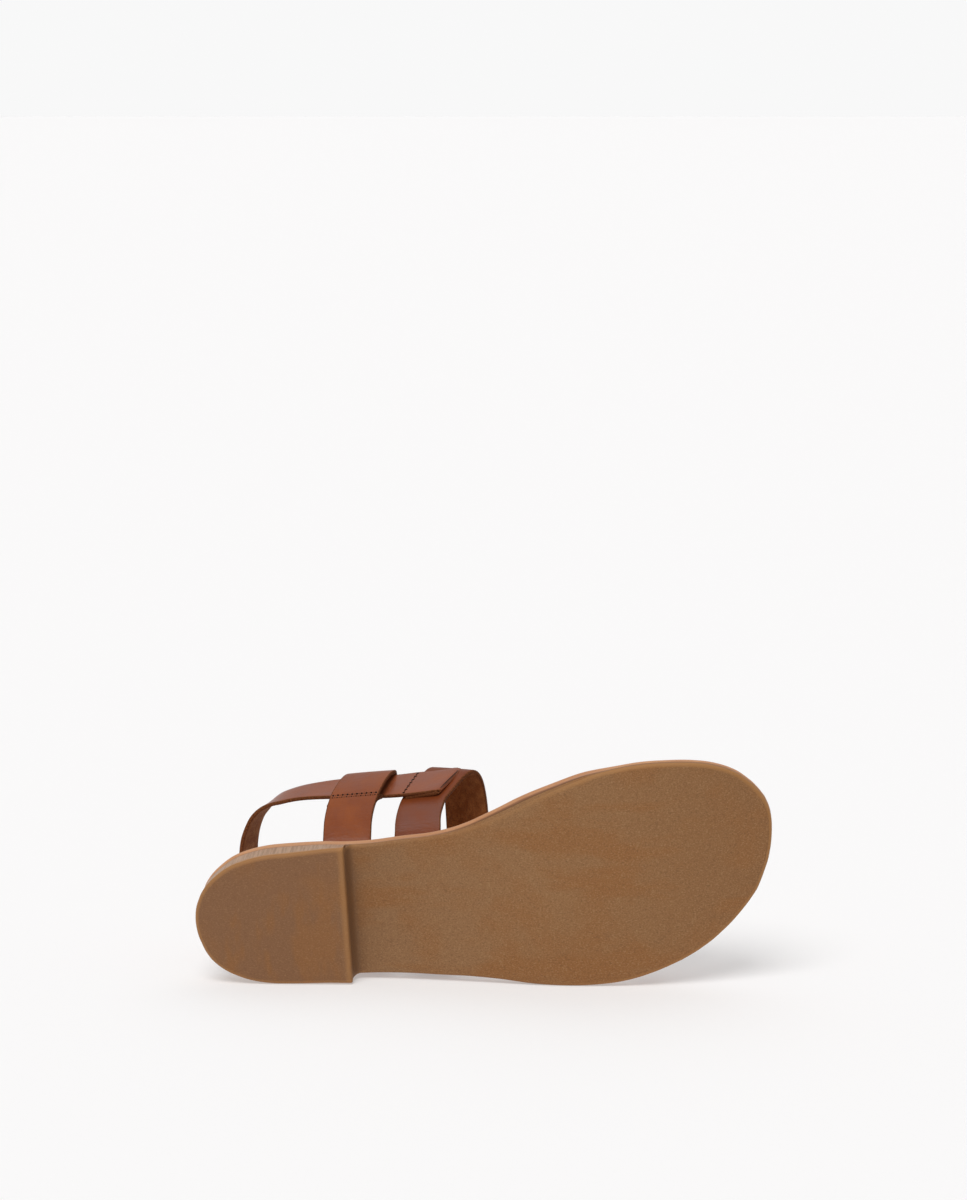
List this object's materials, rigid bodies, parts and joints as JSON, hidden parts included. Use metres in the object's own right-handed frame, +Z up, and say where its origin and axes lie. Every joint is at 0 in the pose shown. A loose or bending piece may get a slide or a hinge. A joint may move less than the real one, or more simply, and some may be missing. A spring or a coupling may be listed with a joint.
{
  "type": "gladiator sandal",
  "caption": "Flat leather gladiator sandal for the left foot with a buckled ankle strap run through quarter loops, lying on its outer side.",
  "frame": {"origin": "centre of the bottom of the bounding box of the shoe as it lies", "axes": "+X along the floor from heel to toe, +Y from the tread towards the leg opening, +Z up from the outer side it lies on to the big-toe side"},
  "size_m": [0.2484, 0.0874, 0.1001],
  "materials": {
    "sole_rubber": "fine-grained moulded rubber, caramel brown",
    "footbed_leather": "smooth natural tan, matt",
    "strap_leather": "smooth waxed cognac brown with suede back",
    "billet_leather": "smooth waxed cognac brown, punched",
    "buckle_bronze": "aged dark bronze, satin"
  },
  "bodies": {
    "root": {"sole_unit": "sole_rubber", "footbed": "footbed_leather", "upper": "strap_leather", "billet": "billet_leather", "ball_strap": "strap_leather", "toe_strap": "strap_leather", "buckle_frame": "buckle_bronze", "buckle_prong": "buckle_bronze"}
  },
  "joints": []
}
